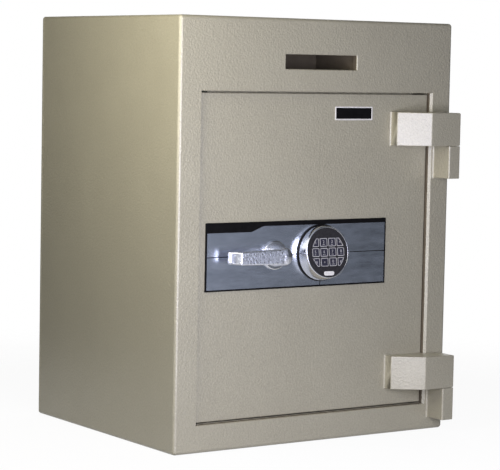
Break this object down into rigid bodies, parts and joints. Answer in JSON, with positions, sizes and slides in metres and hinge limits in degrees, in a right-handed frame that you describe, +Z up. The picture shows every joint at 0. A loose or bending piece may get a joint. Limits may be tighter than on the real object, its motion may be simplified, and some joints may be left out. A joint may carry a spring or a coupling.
{
  "type": "deposit safe",
  "caption": "Steel deposit safe with a letter slot above a recessed door, outside hinges, a lever handle and a round electronic keypad.",
  "frame": {"origin": "centre of the body's underside, at the middle of the floor anchor holes", "axes": "+X to the right seen from the front, +Y to the back, +Z up"},
  "size_m": [0.5, 0.4475, 0.635],
  "materials": {
    "hammer_paint": "warm grey hammertone enamel",
    "dark_primer": "thin dark brown coat",
    "zinc_steel": "plain zinc plated steel",
    "polished_chrome": "polished chrome plate",
    "bright_steel": "glossy fine brushed sheet",
    "bearing_bronze": "turned bronze",
    "black_plastic": "fine textured black",
    "key_plastic": "black keys with pale outlines and figures",
    "pale_plastic": "bare silvery white",
    "circuit_board": "green lacquer"
  },
  "bodies": {
    "cabinet": {"cabinet_shell": "hammer_paint", "back_plate": "hammer_paint", "front_frame": "hammer_paint", "jamb_liner": "hammer_paint", "door_stops": "hammer_paint", "deposit_chute": "dark_primer", "fishing_baffle": "dark_primer", "knuckle_upper": "hammer_paint", "knuckle_lower": "hammer_paint", "hinge_pins": "zinc_steel", "thrust_washers": "zinc_steel"},
    "door": {"door_plate": "hammer_paint", "strap_upper": "hammer_paint", "strap_lower": "hammer_paint", "dog_bar": "zinc_steel", "bolt_guide": "zinc_steel", "lock_case": "zinc_steel", "lock_cover": "zinc_steel", "lock_motor": "black_plastic", "lock_screws": "zinc_steel", "door_cover": "zinc_steel", "cover_standoffs": "zinc_steel", "cover_screws": "zinc_steel", "trim_plate": "bright_steel", "trim_border": "black_plastic", "badge_rim": "pale_plastic", "badge_field": "black_plastic", "lever_rose": "polished_chrome", "spindle_bush": "bearing_bronze", "keypad_base": "black_plastic", "keypad_screws": "zinc_steel", "keypad_housing": "polished_chrome", "keypad_face": "black_plastic", "keypad_oval": "pale_plastic", "keypad_board": "circuit_board", "battery_cell": "black_plastic", "battery_clip": "zinc_steel", "lock_cable": "black_plastic"},
    "handle": {"lever_handle": "polished_chrome", "spindle": "zinc_steel", "cam_disc": "zinc_steel", "spindle_clip": "zinc_steel"},
    "boltwork": {"bolt_bar": "zinc_steel", "bolt_arm": "zinc_steel", "lock_bolts": "polished_chrome", "bolt_screws": "zinc_steel"},
    "swing_bolt": {"swing_bolt": "polished_chrome"},
    "key_1": {"key_1": "key_plastic"},
    "key_2": {"key_2": "key_plastic"},
    "key_3": {"key_3": "key_plastic"},
    "key_4": {"key_4": "key_plastic"},
    "key_5": {"key_5": "key_plastic"},
    "key_6": {"key_6": "key_plastic"},
    "key_7": {"key_7": "key_plastic"},
    "key_8": {"key_8": "key_plastic"},
    "key_9": {"key_9": "key_plastic"},
    "key_star": {"key_star": "key_plastic"},
    "key_0": {"key_0": "key_plastic"},
    "key_hash": {"key_hash": "key_plastic"}
  },
  "joints": [
    {"name": "door_swing", "type": "hinge", "parent": "cabinet", "child": "door", "pos_m": [0.2297, -0.226, 0.285], "axis": [0, 0, 1], "range_deg": [0, 180]},
    {"name": "handle_turn", "type": "hinge", "parent": "door", "child": "handle", "pos_m": [-0.0755, -0.185, 0.285], "axis": [0, -1, 0], "range_deg": [0, 60]},
    {"name": "boltwork_slide", "type": "slide", "parent": "door", "child": "boltwork", "axis": [-1, 0, 0], "range_m": [0, 0.022]},
    {"name": "swing_bolt_turn", "type": "hinge", "parent": "door", "child": "swing_bolt", "pos_m": [-0.0165, -0.158, 0.258], "axis": [0, -1, 0], "range_deg": [0, 57.3]},
    {"name": "key_1_press", "type": "slide", "parent": "door", "child": "key_1", "axis": [0, 0.9903, -0.1392], "range_m": [0, 0.001], "stiffness_N_per_m": 300, "springref_m": -0.0005},
    {"name": "key_2_press", "type": "slide", "parent": "door", "child": "key_2", "axis": [0, 0.9903, -0.1392], "range_m": [0, 0.001], "stiffness_N_per_m": 300, "springref_m": -0.0005},
    {"name": "key_3_press", "type": "slide", "parent": "door", "child": "key_3", "axis": [0, 0.9903, -0.1392], "range_m": [0, 0.001], "stiffness_N_per_m": 300, "springref_m": -0.0005},
    {"name": "key_4_press", "type": "slide", "parent": "door", "child": "key_4", "axis": [0, 0.9903, -0.1392], "range_m": [0, 0.001], "stiffness_N_per_m": 300, "springref_m": -0.0005},
    {"name": "key_5_press", "type": "slide", "parent": "door", "child": "key_5", "axis": [0, 0.9903, -0.1392], "range_m": [0, 0.001], "stiffness_N_per_m": 300, "springref_m": -0.0005},
    {"name": "key_6_press", "type": "slide", "parent": "door", "child": "key_6", "axis": [0, 0.9903, -0.1392], "range_m": [0, 0.001], "stiffness_N_per_m": 300, "springref_m": -0.0005},
    {"name": "key_7_press", "type": "slide", "parent": "door", "child": "key_7", "axis": [0, 0.9903, -0.1392], "range_m": [0, 0.001], "stiffness_N_per_m": 300, "springref_m": -0.0005},
    {"name": "key_8_press", "type": "slide", "parent": "door", "child": "key_8", "axis": [0, 0.9903, -0.1392], "range_m": [0, 0.001], "stiffness_N_per_m": 300, "springref_m": -0.0005},
    {"name": "key_9_press", "type": "slide", "parent": "door", "child": "key_9", "axis": [0, 0.9903, -0.1392], "range_m": [0, 0.001], "stiffness_N_per_m": 300, "springref_m": -0.0005},
    {"name": "key_star_press", "type": "slide", "parent": "door", "child": "key_star", "axis": [0, 0.9903, -0.1392], "range_m": [0, 0.001], "stiffness_N_per_m": 300, "springref_m": -0.0005},
    {"name": "key_0_press", "type": "slide", "parent": "door", "child": "key_0", "axis": [0, 0.9903, -0.1392], "range_m": [0, 0.001], "stiffness_N_per_m": 300, "springref_m": -0.0005},
    {"name": "key_hash_press", "type": "slide", "parent": "door", "child": "key_hash", "axis": [0, 0.9903, -0.1392], "range_m": [0, 0.001], "stiffness_N_per_m": 300, "springref_m": -0.0005}
  ],
  "couplings": [
    {"joint": "boltwork_slide", "follows": "handle_turn", "m_per_rad": 0.021008},
    {"joint": "swing_bolt_turn", "follows": "handle_turn", "ratio": 0.95499}
  ]
}
